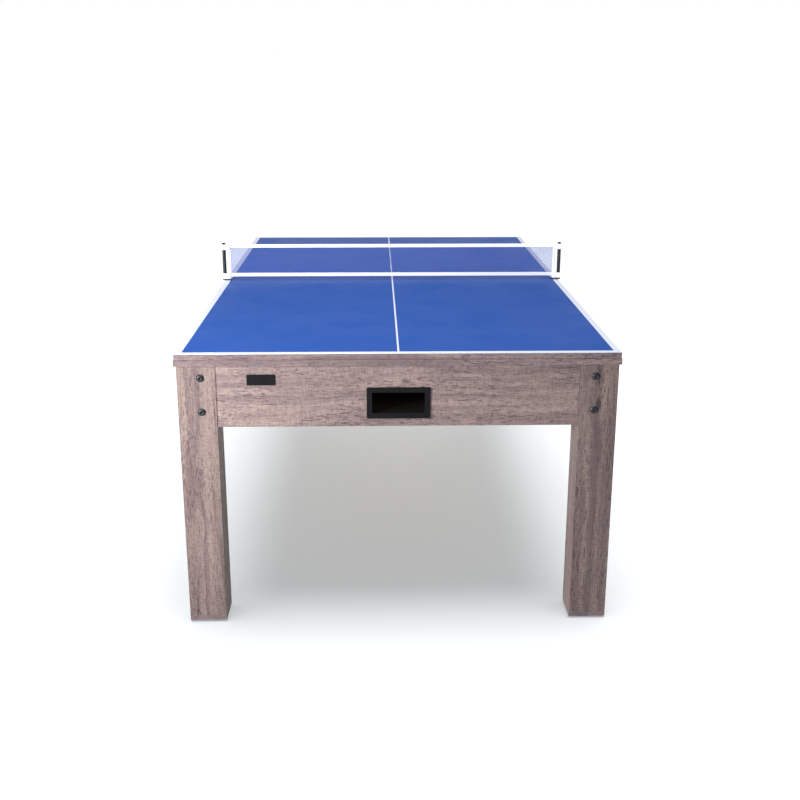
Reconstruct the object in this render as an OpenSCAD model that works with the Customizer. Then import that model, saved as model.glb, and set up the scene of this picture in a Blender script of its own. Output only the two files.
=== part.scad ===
// Seven-foot pool table with a two-piece table-tennis top, in millimetres.
// +Z is up. +Y runs from the front end, which has the ball return, to the rear end.
// The origin is on the floor, below the middle of the table.

/* [Table] */
// Length of the table-tennis top
top_l = 2150; // [2080:10:2220]
// Width of the table-tennis top
top_w = 1210; // [1170:10:1250]
// Height of the table-tennis surface above the floor
play_h = 800; // [760:5:860]
// Thickness of the core board of the table-tennis top
core_t = 15; // [12:1:18]
// Width of the white border lines
border_w = 19; // [15:1:25]
// Width of the white centre line
centre_line_w = 5; // [3:1:6]

/* [Pool rails and bed] */
// Thickness of the flat rail boards
rail_t = 17; // [15:1:20]
// Overhang of the rail boards past the table-tennis top, on each side
rail_over = 2; // [0:1:4]
// Distance from the outer edge of a rail to its cushion nose
rail_to_nose = 137; // [130:1:145]
// Depth of a cushion from its rail board to its nose
cushion_d = 45; // [40:1:50]
// Height of the cushion nose above the cloth
nose_h = 36; // [34:1:38]
// Thickness of the playfield board
bed_t = 18; // [15:1:22]
// Radius of the pocket openings
pocket_r = 57; // [54:1:59]

/* [Cabinet and legs] */
// Height of the aprons
apron_h = 172; // [165:1:180]
// Thickness of the aprons and beams
panel_t = 15; // [12:1:16]
// Width of a leg, the same on both faces
leg_w = 105; // [95:1:120]
// Inset of the leg faces from the edge of the top
leg_inset = 4; // [2:1:8]
// Distance that the leg faces stand out from the aprons
leg_proud = 2; // [1:1:4]
// Thickness of the cap under each leg
cap_t = 13; // [12:1:18]
// Height of the lower leg bolts below the upper ones
bolt_pitch = 96; // [80:1:100]
// Diameter of the leg bolt heads
bolt_head_d = 21; // [16:1:24]

/* [Ball return] */
// Width of the ball return opening
return_w = 145; // [130:1:160]
// Height of the ball return opening
return_h = 59; // [58:1:64]
// Width of the frame round the opening
bezel_w = 14.5; // [10:0.5:18]

/* [Net] */
// Height of the net above the surface
net_h = 128; // [110:1:152]
// Distance from the joint between the tops to the net
net_y = 20; // [19:1:26]
// Diameter of the net posts
post_d = 13; // [10:1:14]
// Height of the white brackets on the posts
bracket_h = 19; // [16:1:22]
// Height of the net's top tape
top_tape_h = 12; // [10:1:15]
// Height of the net's bottom tape
low_tape_h = 13; // [10:1:15]

/* [Levelling feet] */
// Diameter of a foot
glide_d = 45; // [35:1:50]
// Height of a foot at its lowest setting
glide_h = 6; // [5:1:8]
// Diameter of the threaded stud
stud_d = 8; // [6:1:10]

/* [Hidden] */
$fn = 64;

// Colours
wood = [0.56, 0.48, 0.45];
mdf = [0.62, 0.52, 0.40];
blue = [0.13, 0.28, 0.66];
white = [0.95, 0.95, 0.97];
black = [0.06, 0.06, 0.08];
steel = [0.62, 0.64, 0.66];
cloth = [0.36, 0.38, 0.40];

// A corner is named by its two signs: x is -1 for left, y is -1 for front
FL = [-1, -1];
FR = [1, -1];
RL = [-1, 1];
RR = [1, 1];
CORNERS = [FL, FR, RL, RR];

// Levels of the table-tennis top, from its surface down
sheet_t = 1;
pad_t = 1.5;
core_top = play_h - sheet_t;
core_low = core_top - core_t;
seam = 0.5;

// Levels of the pool table
rail_top = core_low - pad_t;
rail_low = rail_top - rail_t;
shim_t = 1.5;
frame_top = rail_low - shim_t;
apron_low = frame_top - apron_h;
cloth_t = 1;
nose_drop = 2.5;
bed_top = rail_top - nose_drop - nose_h;
board_top = bed_top - cloth_t;
board_low = board_top - bed_t;

// Plan of the pool table, as distances from its centre
half_l = top_l / 2;
half_w = top_w / 2;
rail_x = half_w + rail_over;
rail_y = half_l + rail_over;
nose_x = rail_x - rail_to_nose;
nose_y = rail_y - rail_to_nose;
board_x = nose_x + cushion_d;
board_y = nose_y + cushion_d;
leg_x = half_w - leg_inset;
leg_y = half_l - leg_inset;
leg_wall = panel_t + leg_proud;
box_x = leg_x - leg_wall;
box_y = leg_y - leg_wall;
face_x = box_x + panel_t;
face_y = box_y + panel_t;
leg_in_x = leg_x - leg_w;
leg_in_y = leg_y - leg_w;
joint_gap = 0.5;
block_t = 18;
block_past = 90;
inner_x = box_x - block_t;
inner_y = box_y - block_t;

// Pockets: how far their centres lie behind the cushion noses
wall_t = 3;
corner_set = 28;
side_set = 38;
corner_x = nose_x + corner_set;
corner_y = nose_y + corner_set;
side_x = nose_x + side_set;
liner_r = pocket_r + wall_t;
liner_low = board_low + 1;

// Mouths: from the meeting point of two nose lines, or the middle of a side, to a cushion's nose end,
// and how far each cushion end slants from there towards the pocket
corner_jaw = 80;
side_jaw = 62;
corner_cut = 48;
side_cut = 14;

// Ball return: the troughs along the sides run to those along the front end, and these to the tray
ball_d = 57.2;
return_z = apron_low + 67;
gutter_w = 72;
gutter_h = 36;
gutter_x = (corner_x + side_x) / 2;
gutter_head = board_low - ball_d - 2;
gutter_fall = 24;
gutter_run_start = corner_y + 40;
gutter_run_end = -corner_y + gutter_w / 2 + wall_t;
cross_y = corner_y;
cross_head = gutter_head - gutter_fall - 4;
cross_fall = 8;
tray_floor = return_z - return_h / 2 - 2;
tray_w = 330;
tray_d = 200;

// Places of the cross members along the table
BEAMS = [-600, -200, 200, 600];
member_low = apron_low + 8;

// Leg bolts
bolt_d = 8;
bolt_play = 0.2;
bolt_x = half_w - 68;
bolt_y = half_l - 68;
bolt_z = frame_top - 32;
bolt_len = 46;
plate_t = 3;
plate_w = 65;

// Levelling feet
foot_gap = 0.5;
cap_low = glide_h;
leg_low = cap_low + cap_t;
foot_x = leg_x - leg_w / 2;
foot_y = leg_y - leg_w / 2;
stud_top = leg_low + 10;
hex_d = 13;

// Net and posts
post_x = half_w + 3;
jaw_t = 4;
post_low = play_h + jaw_t;
post_top = play_h + net_h;
tape_low = play_h + 11;
band_x = 589;
band_w = 10;
clip_w = 36;
clip_t = 1.2;
ring_play = 0.3;
mesh_t = 1;

// A block between two corners
module block(a, b) {
    translate(a)
        cube(b - a);
}

// One child at each corner, mirrored so that it is drawn for the right rear corner
module at_corners(list = CORNERS) {
    for (c = list)
        mirror([c[0] < 0 ? 1 : 0, 0, 0])
            mirror([0, c[1] < 0 ? 1 : 0, 0])
                children();
}

// One child on the right and its mirror image on the left
module on_both_sides() {
    for (m = [0, 1])
        mirror([m, 0, 0])
            children();
}

module right_or_left(right) {
    mirror([right ? 0 : 1, 0, 0])
        children();
}

module rear_or_front(rear) {
    mirror([0, rear ? 0 : 1, 0])
        children();
}

// ---- Table-tennis tops ----

// Plan of one half, drawn for the far half
module half_plan(inset, height) {
    translate([-half_w + inset, seam / 2, 0])
        cube([top_w - 2 * inset, half_l - seam / 2 - inset, height]);
}

module line_plan(height) {
    difference() {
        half_plan(0, height);
        translate([0, -border_w, -1])
            half_plan(border_w, height + 2);
        translate([0, 0, -1])
            half_plan(border_w, height + 2);
    }
    translate([-centre_line_w / 2, seam / 2, 0])
        cube([centre_line_w, half_l - seam / 2 - border_w, height]);
}

module top_panel(far) {
    color(wood)
        rear_or_front(far)
            translate([0, 0, core_low])
                half_plan(0, core_t);
}

module top_lines(far) {
    color(white)
        rear_or_front(far)
            translate([0, 0, core_top])
                line_plan(sheet_t);
}

module top_surface(far) {
    lane_w = half_w - border_w - centre_line_w / 2;
    color(blue)
        rear_or_front(far)
            on_both_sides()
                translate([centre_line_w / 2, seam / 2, core_top])
                    cube([lane_w, half_l - seam / 2 - border_w, sheet_t]);
}

// Felt pads that keep the top off the rails
module top_pads(far) {
    pad_d = 40;
    color(black)
        rear_or_front(far)
            on_both_sides()
                for (p = [[half_w - 45, half_l - 220], [half_w - 45, half_l / 2],
                          [half_w - 45, 120], [half_w / 3, half_l - 45]])
                    translate([p[0], p[1], rail_top])
                        cylinder(d = pad_d, h = pad_t);
}

// ---- Net ----

// Steel clip on the edge of the far top: jaw above, web outside, thin lip below
module post_clip(right) {
    jaw_in = half_w - 21;
    jaw_out = post_x + post_d / 2;
    lip_in = half_w - 30;
    web_out = half_w + rail_over - 0.2;
    lip_low = rail_top + (pad_t - clip_t) / 2;
    color(black)
        right_or_left(right)
            difference() {
                union() {
                    block([jaw_in, net_y - clip_w / 2, play_h], [jaw_out, net_y + clip_w / 2, post_low]);
                    block([half_w, net_y - clip_w / 2, lip_low], [web_out, net_y + clip_w / 2, play_h + 1]);
                    block([lip_in, net_y - clip_w / 2, lip_low], [web_out, net_y + clip_w / 2, lip_low + clip_t]);
                }
                for (e = [-1, 1])
                    translate([jaw_out, net_y + e * clip_w / 2, play_h - 1])
                        rotate([0, 0, 45])
                            cube([12, 12, 8], center = true);
            }
}

module net_post(right) {
    color(black)
        right_or_left(right)
            translate([post_x, net_y, post_low])
                cylinder(d = post_d, h = post_top - post_low);
}

module post_cap(right) {
    color(black)
        right_or_left(right)
            translate([post_x, net_y, post_top])
                rotate_extrude()
                    polygon([[0, 0], [post_d / 2, 0], [post_d / 2, 3], [post_d / 2 - 1.5, 5], [0, 5.6]]);
}

// White bracket that hooks round the post and is open on its outer side
module post_hook(z) {
    hook_r = post_d / 2 + ring_play;
    hook_w = hook_r + 1.6;
    difference() {
        block([band_x - band_w / 2, net_y - hook_w, z], [post_x + post_d / 2, net_y + hook_w, z + bracket_h]);
        translate([post_x, net_y, z - 1])
            cylinder(r = hook_r, h = bracket_h + 2);
        block([post_x, net_y - hook_r, z - 1], [post_x + 2 * hook_r, net_y + hook_r, z + bracket_h + 1]);
        for (e = [-1, 1])
            translate([band_x - band_w / 2, net_y + e * hook_w, z + bracket_h / 2])
                rotate([0, 0, 45])
                    cube([8, 8, bracket_h + 2], center = true);
    }
}

// The two hooks of each side, with the flat rod that ties them inside the net's end band
module net_brackets() {
    color(white)
        on_both_sides() {
            post_hook(post_low);
            post_hook(post_top - bracket_h);
            block([band_x - 3, net_y - 1.5, post_low + bracket_h], [band_x + 3, net_y + 1.5, post_top - bracket_h]);
        }
}

module net_end_bands() {
    color(white)
        on_both_sides()
            difference() {
                block([band_x - band_w / 2, net_y - 2.5, post_low + bracket_h],
                      [band_x + band_w / 2, net_y + 2.5, post_top - bracket_h]);
                block([band_x - 3, net_y - 1.5, post_low + bracket_h - 1],
                      [band_x + 3, net_y + 1.5, post_top - bracket_h + 1]);
            }
}

// One tape is a folded strip with a slot for the edge of the mesh
module tape(z, height, slot_up) {
    end_x = band_x - band_w / 2;
    slot = height - 3;
    difference() {
        block([-end_x, net_y - 1.5, z], [end_x, net_y + 1.5, z + height]);
        block([-end_x - 1, net_y - mesh_t / 2, slot_up ? z + height - slot : z - 1],
              [end_x + 1, net_y + mesh_t / 2, slot_up ? z + height + 1 : z + slot]);
    }
}

module net_tapes() {
    color(white) {
        tape(post_top - top_tape_h, top_tape_h, false);
        tape(tape_low, low_tape_h, true);
    }
}

module net_mesh() {
    end_x = band_x - band_w / 2;
    color([0.45, 0.5, 0.8])
        block([-end_x, net_y - mesh_t / 2, tape_low + 3], [end_x, net_y + mesh_t / 2, post_top - 3]);
}

// ---- Pool rails, cushions and bed ----

// Round openings of all six pockets, between two heights
module pocket_holes(r, low, high) {
    at_corners()
        translate([corner_x, corner_y, low])
            cylinder(r = r, h = high - low);
    on_both_sides()
        translate([side_x, 0, low])
            cylinder(r = r, h = high - low);
}

module end_rail(rear) {
    color(wood)
        rear_or_front(rear)
            difference() {
                block([-rail_x, board_y, rail_low], [rail_x, rail_y, rail_top]);
                pocket_holes(liner_r, rail_low - 1, rail_top + 1);
            }
}

// Two boards along each side, with the side pocket's top between them
module side_rail(right) {
    color(wood)
        right_or_left(right)
            difference() {
                for (m = [0, 1])
                    mirror([0, m, 0])
                        block([board_x, side_jaw + joint_gap, rail_low], [rail_x, board_y, rail_top]);
                pocket_holes(liner_r, rail_low - 1, rail_top + 1);
            }
}

// Blocks between the bed and the rail boards, behind each cushion
module rail_blocks() {
    block_w = 40;
    corner_room = 45;
    side_end = nose_y - corner_room;
    end_end = nose_x - corner_room;
    color(mdf) {
        on_both_sides()
            for (m = [0, 1])
                mirror([0, m, 0])
                    block([board_x, side_jaw, bed_top], [board_x + block_w, side_end, rail_low]);
        for (m = [0, 1])
            mirror([0, m, 0])
                block([-end_end, board_y, bed_top], [end_end, board_y + block_w, rail_low]);
    }
}

// Cushion section: x is the distance from the nose towards the rail, y is the height above the cloth
module cushion_section() {
    polygon([[0, nose_h - 1.5], [1.5, nose_h], [cushion_d, nose_h + 2], [cushion_d, 8], [cushion_d - 12, 8]]);
}

// A cushion along +Y, with its nose from 0 to length; its ends slant outwards behind the nose
module cushion(length, angle_low, angle_high) {
    run = 3 * cushion_d;
    spare = 1.5 * cushion_d;
    difference() {
        translate([0, length + spare, 0])
            rotate([90, 0, 0])
                linear_extrude(length + 2 * spare)
                    cushion_section();
        translate([0, 0, -1])
            rotate([0, 0, -angle_low])
                translate([-run, -run, 0])
                    cube([3 * run, run, 2 * nose_h]);
        translate([0, length, -1])
            rotate([0, 0, angle_high])
                translate([-run, 0, 0])
                    cube([3 * run, run, 2 * nose_h]);
    }
}

module side_cushions(right) {
    length = nose_y - side_jaw - corner_jaw;
    color(cloth)
        right_or_left(right)
            for (m = [0, 1])
                mirror([0, m, 0])
                    translate([nose_x, side_jaw, bed_top])
                        cushion(length, side_cut, corner_cut);
}

module end_cushion(rear) {
    length = 2 * (nose_x - corner_jaw);
    color(cloth)
        rear_or_front(rear)
            translate([length / 2, nose_y, bed_top])
                rotate([0, 0, 90])
                    cushion(length, corner_cut, corner_cut);
}

// Outline of the bed, with its corners cut away just inside the pocket centres
module bed_plan(low, height) {
    over = 50;
    cut = 4;
    difference() {
        block([-board_x - over, -board_y - over, low], [board_x + over, board_y + over, low + height]);
        at_corners()
            block([corner_x - cut, corner_y - cut, low - 1], [board_x + 2 * over, board_y + 2 * over, low + height + 1]);
        pocket_holes(liner_r, low - 1, low + height + 1);
    }
}

module playfield_board() {
    color(mdf)
        bed_plan(board_low, bed_t);
}

module bed_cloth() {
    color(cloth)
        bed_plan(board_top, cloth_t);
}

// A tube round the drop, cut away above the bed on the side that faces the cushions
module pocket_liner(x, y, mouth_angle) {
    translate([x, y, 0])
        difference() {
            translate([0, 0, liner_low])
                cylinder(r = liner_r, h = rail_top - liner_low);
            translate([0, 0, liner_low - 1])
                cylinder(r = pocket_r, h = rail_top - liner_low + 2);
            rotate([0, 0, mouth_angle])
                translate([-12, -2 * liner_r, bed_top])
                    cube([3 * liner_r, 4 * liner_r, 2 * nose_h]);
        }
}

module corner_pocket_liners() {
    color(black)
        at_corners()
            pocket_liner(corner_x, corner_y, 225);
}

// A liner whose top fills the gap between the two side rails
module side_pocket_liners() {
    color(black)
        on_both_sides() {
            pocket_liner(side_x, 0, 180);
            difference() {
                block([board_x, -side_jaw, rail_low], [rail_x, side_jaw, rail_top]);
                translate([side_x, 0, rail_low - 1])
                    cylinder(r = pocket_r, h = rail_t + 2);
            }
        }
}

// ---- Ball return ----

// A trough along +Y that starts at the given floor height and falls towards +Y
module trough(length, fall) {
    angle = atan(fall / length);
    rotate([-angle, 0, 0])
        difference() {
            translate([-gutter_w / 2 - wall_t, 0, -wall_t])
                cube([gutter_w + 2 * wall_t, length, gutter_h + wall_t]);
            translate([-gutter_w / 2, wall_t, 0])
                cube([gutter_w, length, gutter_h + 1]);
        }
}

module side_gutter(right) {
    color(black)
        right_or_left(right)
            translate([gutter_x, gutter_run_start, gutter_head])
                rotate([0, 0, 180])
                    trough(gutter_run_start - gutter_run_end - 1, gutter_fall);
}

// Two troughs along the front end that fall to the tray, open where the side troughs run in
module front_ball_gutters() {
    start_x = corner_x + 40;
    rear_wall = gutter_w / 2 - cross_y;
    color(black)
        on_both_sides()
            difference() {
                translate([start_x, -cross_y, cross_head])
                    rotate([0, 0, 90])
                        trough(start_x - tray_w / 2 - 1, cross_fall);
                block([gutter_x - gutter_w / 2, rear_wall - 1, cross_head + 3],
                      [gutter_x + gutter_w / 2, rear_wall + wall_t + 1, cross_head + gutter_h + 10]);
            }
}

// Open tray behind the ball return, with low places in its sides where the front troughs come in
module ball_tray() {
    wall_h = 50;
    way_y = box_y - cross_y;
    way_w = gutter_w + 2 * wall_t + 2;
    color(black)
        translate([0, -box_y, tray_floor - wall_t])
            difference() {
                block([-tray_w / 2, 0, 0], [tray_w / 2, tray_d, wall_h + wall_t]);
                block([-tray_w / 2 + wall_t, -1, wall_t], [tray_w / 2 - wall_t, tray_d - wall_t, wall_h + 2 * wall_t]);
                block([-tray_w, way_y - way_w / 2, wall_t], [tray_w, way_y + way_w / 2, wall_h + 2 * wall_t]);
            }
}

module rounded_plate(w, h, r, t) {
    for (x = [-1, 1])
        for (z = [-1, 1])
            translate([x * (w / 2 - r), 0, z * (h / 2 - r)])
                rotate([90, 0, 0])
                    cylinder(r = r, h = t);
    block([-w / 2 + r, -t, -h / 2], [w / 2 - r, 0, h / 2]);
    block([-w / 2, -t, -h / 2 + r], [w / 2, 0, h / 2 - r]);
}

// Frame on the apron face with a sleeve through the apron
module ball_return_bezel() {
    face_t = 4;
    sleeve = 2;
    color(black)
        translate([0, -face_y, return_z])
            difference() {
                union() {
                    rounded_plate(return_w + 2 * bezel_w, return_h + 2 * bezel_w, 4, face_t);
                    block([-return_w / 2 - sleeve, -1, -return_h / 2 - sleeve],
                          [return_w / 2 + sleeve, panel_t, return_h / 2 + sleeve]);
                }
                block([-return_w / 2, -face_t - 1, -return_h / 2], [return_w / 2, panel_t + 1, return_h / 2]);
            }
}

// ---- Cabinet ----

module end_apron(rear) {
    open_w = return_w + 4;
    open_h = return_h + 4;
    end_x = leg_in_x - joint_gap;
    color(wood)
        rear_or_front(rear)
            difference() {
                block([-end_x, box_y, apron_low], [end_x, face_y, frame_top]);
                if (!rear)
                    block([-open_w / 2, box_y - 1, return_z - open_h / 2],
                          [open_w / 2, face_y + 1, return_z + open_h / 2]);
            }
}

module side_apron(right) {
    end_y = leg_in_y - joint_gap;
    color(wood)
        right_or_left(right)
            block([box_x, -end_y, apron_low], [face_x, end_y, frame_top]);
}

// Two boards behind each leg top, butted together, which also join the ends of the aprons
module corner_blocks() {
    color(mdf)
        at_corners()
            difference() {
                union() {
                    block([leg_in_x - block_past, inner_y, member_low], [box_x, box_y, frame_top]);
                    block([inner_x, leg_in_y - block_past, member_low], [box_x, inner_y - joint_gap, frame_top]);
                }
                end_bolt_holes();
                side_bolt_holes();
            }
}

// Cross members under the bed, notched where the gutters pass
module bed_beams() {
    notch_w = gutter_w + 20;
    notch_low = cross_head - 12;
    color(mdf)
        for (y = BEAMS)
            difference() {
                block([-box_x, y - panel_t / 2, member_low], [box_x, y + panel_t / 2, board_low]);
                on_both_sides()
                    block([gutter_x - notch_w / 2, y - panel_t, notch_low],
                          [gutter_x + notch_w / 2, y + panel_t, board_low + 1]);
            }
}

// Strips on the aprons that carry the edge of the bed, cut where they meet the beams and corner blocks
module bed_ledgers() {
    strip_w = 40;
    strip_h = 24;
    beam_gap = panel_t / 2;
    end_y = leg_in_y - block_past;
    end_x = leg_in_x - block_past;
    stops = [-end_y, each BEAMS, end_y];
    last = len(stops) - 2;
    color(mdf) {
        difference() {
            on_both_sides()
                for (i = [0 : last])
                    block([box_x - strip_w, stops[i] + (i > 0 ? beam_gap : 0), board_low - strip_h],
                          [box_x, stops[i + 1] - (i < last ? beam_gap : 0), board_low]);
            pocket_holes(liner_r + 2, board_low - 2 * strip_h, board_low + 1);
        }
        for (m = [0, 1])
            mirror([0, m, 0])
                block([-end_x, box_y - strip_w, board_low - strip_h], [end_x, box_y, board_low]);
    }
}

// Positions of the two bolts on a leg face
module each_bolt() {
    for (z = [bolt_z, bolt_z - bolt_pitch])
        translate([0, 0, z])
            children();
}

module end_bolt_holes() {
    on_both_sides()
        each_bolt()
            translate([bolt_x, inner_y - 20, 0])
                rotate([-90, 0, 0])
                    cylinder(d = bolt_d + bolt_play, h = 80);
}

module side_bolt_holes() {
    for (m = [0, 1])
        mirror([0, m, 0])
            each_bolt()
                translate([inner_x - 20, bolt_y, 0])
                    rotate([0, 90, 0])
                        cylinder(d = bolt_d + bolt_play, h = 80);
}

// Angle plates inside the cabinet corners, with a weld nut for each leg bolt
module corner_brackets() {
    plate_low = bolt_z - bolt_pitch - 25;
    plate_top = bolt_z + 14;
    nut_d = 15;
    nut_h = 6.5;
    color(steel)
        at_corners()
            difference() {
                union() {
                    block([inner_x - plate_w, inner_y - plate_t, plate_low], [inner_x, inner_y, plate_top]);
                    block([inner_x - plate_t, inner_y - plate_w, plate_low], [inner_x, inner_y, plate_top]);
                    each_bolt() {
                        translate([bolt_x, inner_y - plate_t - nut_h, 0])
                            rotate([-90, 0, 0])
                                cylinder(d = nut_d, h = nut_h + 1, $fn = 6);
                        translate([inner_x - plate_t - nut_h, bolt_y, 0])
                            rotate([0, 90, 0])
                                cylinder(d = nut_d, h = nut_h + 1, $fn = 6);
                    }
                }
                end_bolt_holes();
                side_bolt_holes();
            }
}

// Steel tab on the top edge of an apron, turned down over its face; x is the place along the apron
module rail_tab(x, box, face) {
    tab_w = 44;
    tab_drop = 3;
    reach = 25;
    block([x - tab_w / 2, box - reach, frame_top], [x + tab_w / 2, face + shim_t, rail_low]);
    block([x - tab_w / 2, face, frame_top - tab_drop], [x + tab_w / 2, face + shim_t, rail_low]);
}

module rail_brackets() {
    color(steel) {
        for (m = [0, 1])
            mirror([0, m, 0])
                for (x = [-384, 0, 384])
                    rail_tab(x, box_y, face_y);
        for (m = [-90, 90])
            rotate([0, 0, m])
                for (x = [-700, -233, 233, 700])
                    rail_tab(x, box_x, face_x);
    }
}

// ---- Legs ----

// Hollow post below the aprons; above them, only the two outer walls wrap the corner blocks
module leg(corner) {
    color(wood)
        at_corners([corner])
            difference() {
                union() {
                    block([leg_in_x, box_y, leg_low], [leg_x, leg_y, frame_top]);
                    block([box_x, leg_in_y, leg_low], [leg_x, leg_y, frame_top]);
                    block([leg_in_x, leg_in_y, leg_low], [leg_x, leg_y, apron_low]);
                }
                block([leg_in_x + leg_wall, leg_in_y + leg_wall, leg_low - 1], [box_x, box_y, apron_low - panel_t]);
                end_bolt_holes();
                side_bolt_holes();
            }
}

module leg_caps() {
    color(wood)
        at_corners()
            difference() {
                block([leg_in_x, leg_in_y, cap_low], [leg_x, leg_y, leg_low]);
                translate([foot_x, foot_y, cap_low - 1])
                    cylinder(d = stud_d + bolt_play, h = cap_t + 2);
            }
}

// Button-head bolt along +Z, with its head above the origin
module leg_bolt() {
    head_h = 6;
    rim_h = 2;
    socket = 6;
    difference() {
        union() {
            rotate_extrude()
                polygon([[0, 0], [bolt_head_d / 2, 0], [bolt_head_d / 2, rim_h],
                         [bolt_head_d / 2 - 2, rim_h + 2], [socket, head_h], [0, head_h]]);
            translate([0, 0, -bolt_len])
                cylinder(d = bolt_d, h = bolt_len + 1);
        }
        translate([0, 0, rim_h])
            cylinder(d = socket, h = head_h, $fn = 6);
    }
}

module leg_bolts() {
    color(black)
        at_corners()
            each_bolt() {
                translate([bolt_x, leg_y, 0])
                    rotate([-90, 0, 0])
                        leg_bolt();
                translate([leg_x, bolt_y, 0])
                    rotate([0, 90, 0])
                        leg_bolt();
            }
}

// Blank plate with four pin heads
module nameplate() {
    plate_x = 373;
    plate_z = return_z + 67;
    color(black)
        translate([-plate_x, -face_y, plate_z]) {
            rounded_plate(78, 30, 3, 2);
            for (x = [-1, 1])
                for (z = [-1, 1])
                    translate([x * 34, 0, z * 10])
                        rotate([90, 0, 0])
                            cylinder(d = 3, h = 2.6);
        }
}

// ---- Levelling feet ----

module glide(corner) {
    color(black)
        at_corners([corner])
            translate([foot_x, foot_y, 0])
                difference() {
                    rotate_extrude()
                        polygon([[0, 0], [glide_d / 2 - 1, 0], [glide_d / 2, 1],
                                 [glide_d / 2, 3], [glide_d / 2 - 4, glide_h - foot_gap], [0, glide_h - foot_gap]]);
                    translate([0, 0, 2])
                        cylinder(d = hex_d + 1, h = glide_h);
                }
}

// Threaded stud with a hex head that turns in the foot
module stud(corner) {
    socket_low = 2.1;
    color(steel)
        at_corners([corner])
            translate([foot_x, foot_y, 0]) {
                translate([0, 0, socket_low])
                    cylinder(d = hex_d, h = glide_h - foot_gap - socket_low, $fn = 6);
                translate([0, 0, socket_low])
                    cylinder(d = stud_d, h = stud_top - socket_low);
            }
}

end_apron(false);  // front_apron
end_apron(true);  // rear_apron
side_apron(false);  // left_apron
side_apron(true);  // right_apron
end_rail(false);  // front_rail
end_rail(true);  // rear_rail
side_rail(false);  // left_rail
side_rail(true);  // right_rail
rail_blocks();
end_cushion(false);  // front_cushion
end_cushion(true);  // rear_cushion
side_cushions(false);  // left_cushions
side_cushions(true);  // right_cushions
playfield_board();
bed_cloth();
corner_pocket_liners();
side_pocket_liners();
side_gutter(false);  // left_ball_gutter
side_gutter(true);  // right_ball_gutter
front_ball_gutters();
ball_tray();
ball_return_bezel();
bed_beams();
bed_ledgers();
corner_blocks();
corner_brackets();
rail_brackets();
leg(FL);  // front_left_leg
leg(FR);  // front_right_leg
leg(RL);  // rear_left_leg
leg(RR);  // rear_right_leg
leg_caps();
leg_bolts();
nameplate();
top_panel(false);  // near_top_panel
top_surface(false);  // near_top_surface
top_lines(false);  // near_top_lines
top_pads(false);  // near_top_pads
top_panel(true);  // far_top_panel
top_surface(true);  // far_top_surface
top_lines(true);  // far_top_lines
top_pads(true);  // far_top_pads
post_clip(false);  // left_post_clip
post_clip(true);  // right_post_clip
net_post(false);  // left_post
net_post(true);  // right_post
post_cap(false);  // left_post_cap
post_cap(true);  // right_post_cap
net_mesh();
net_tapes();
net_end_bands();
net_brackets();
glide(FL);  // front_left_glide
glide(FR);  // front_right_glide
glide(RL);  // rear_left_glide
glide(RR);  // rear_right_glide
stud(FL);  // front_left_stud
stud(FR);  // front_right_stud
stud(RL);  // rear_left_stud
stud(RR);  // rear_right_stud
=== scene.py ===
import math
import random

import bmesh
import bpy
from mathutils import Matrix, Vector


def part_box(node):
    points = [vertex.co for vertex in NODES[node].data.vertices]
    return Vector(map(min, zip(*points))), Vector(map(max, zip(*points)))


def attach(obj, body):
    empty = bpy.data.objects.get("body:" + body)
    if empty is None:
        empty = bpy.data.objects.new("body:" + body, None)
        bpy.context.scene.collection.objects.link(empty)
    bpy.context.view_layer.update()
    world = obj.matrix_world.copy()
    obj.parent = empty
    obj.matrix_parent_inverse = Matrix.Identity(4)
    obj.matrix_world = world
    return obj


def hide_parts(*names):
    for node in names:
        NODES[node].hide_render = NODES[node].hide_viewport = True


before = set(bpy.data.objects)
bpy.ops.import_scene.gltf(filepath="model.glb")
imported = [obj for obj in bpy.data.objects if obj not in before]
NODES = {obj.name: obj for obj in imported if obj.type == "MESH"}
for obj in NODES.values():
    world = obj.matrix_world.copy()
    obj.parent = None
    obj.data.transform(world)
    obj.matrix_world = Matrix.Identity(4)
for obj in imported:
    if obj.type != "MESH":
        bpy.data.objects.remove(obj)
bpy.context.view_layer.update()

# Lengths are in metres, in the frame of the CAD model: +X to the right across the table, +Y from the ball
# return end to the far end, +Z up, origin on the floor below the middle of the table.

CORNERS = ("front_left", "front_right", "rear_left", "rear_right")
CORNER_POCKET = (0.498, 0.968)
SIDE_POCKET = (0.508, 0.0)


# ---------------------------------------------------------------- camera

def make_camera():
    """The photograph's camera: 2.8 m in front of the table at eye height, looking down at it."""
    place = Vector((-0.0610, -3.9106, 1.5267))
    pitch = math.radians(-16.833)
    yaw = math.radians(1.311)
    roll = math.radians(0.047)
    forward = Vector((math.sin(yaw) * math.cos(pitch), math.cos(yaw) * math.cos(pitch), math.sin(pitch)))
    level_right = Vector((math.cos(yaw), -math.sin(yaw), 0.0))
    level_up = level_right.cross(forward)
    right = level_right * math.cos(roll) + level_up * math.sin(roll)
    up = level_up * math.cos(roll) - level_right * math.sin(roll)
    focal_length = 48.90
    full_frame = 36.0
    lens = bpy.data.cameras.new("camera")
    lens.sensor_width = full_frame
    lens.lens = focal_length
    lens.clip_end = 200.0
    camera = bpy.data.objects.new("camera", lens)
    turn = Matrix((right, up, -forward)).transposed().to_4x4()
    camera.matrix_world = Matrix.Translation(place) @ turn
    bpy.context.scene.collection.objects.link(camera)
    bpy.context.scene.camera = camera


# ---------------------------------------------------------------- shader helpers

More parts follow.
